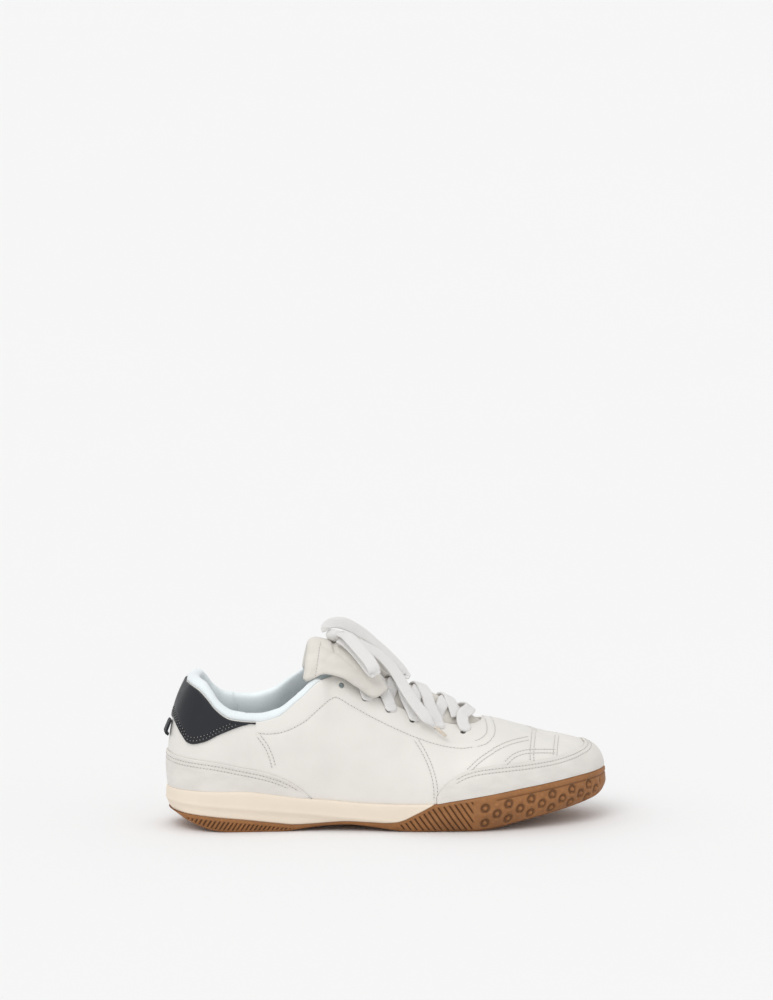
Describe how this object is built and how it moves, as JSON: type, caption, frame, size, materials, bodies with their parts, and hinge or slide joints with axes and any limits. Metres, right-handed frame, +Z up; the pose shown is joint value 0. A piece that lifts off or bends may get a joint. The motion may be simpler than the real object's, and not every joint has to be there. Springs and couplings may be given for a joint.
{
  "type": "indoor soccer shoe",
  "caption": "Low lace-up indoor soccer shoe, hollow and empty, with a folded tongue, padded collar, toe guard and a flat gum tread.",
  "frame": {"origin": "on the floor, under the middle of the heel's flat spot", "axes": "+X to the toe, +Y to the inner side of the foot, +Z up; the shoe stands level on heel and forefoot"},
  "size_m": [0.2908, 0.1027, 0.1325],
  "materials": {
    "gum_rubber": "matte gum rubber",
    "midsole_foam": "cream foam, matte",
    "lining_fabric": "soft knitted lining",
    "white_leather": "smooth full grain, satin",
    "suede": "napped suede, matte",
    "dark_leather": "smooth, satin",
    "dark_webbing": "woven webbing",
    "lace": "flat woven cotton"
  },
  "bodies": {
    "root": {"outsole": "gum_rubber", "midsole": "midsole_foam", "insole": "lining_fabric", "upper": "white_leather", "heel_foxing": "suede", "heel_tab": "dark_leather", "toe_guard": "suede", "collar_cuff": "lining_fabric", "pull_loop": "dark_webbing", "tongue": "suede", "lace_crossing_1": "lace", "lace_crossing_2": "lace", "lace_crossing_3": "lace", "lace_crossing_4": "lace", "lace_crossing_5": "lace", "lace_bar": "lace", "lace_loop_near": "lace", "lace_loop_far": "lace", "lace_end_near": "lace", "lace_end_far": "lace", "lace_knot": "lace"}
  },
  "joints": []
}
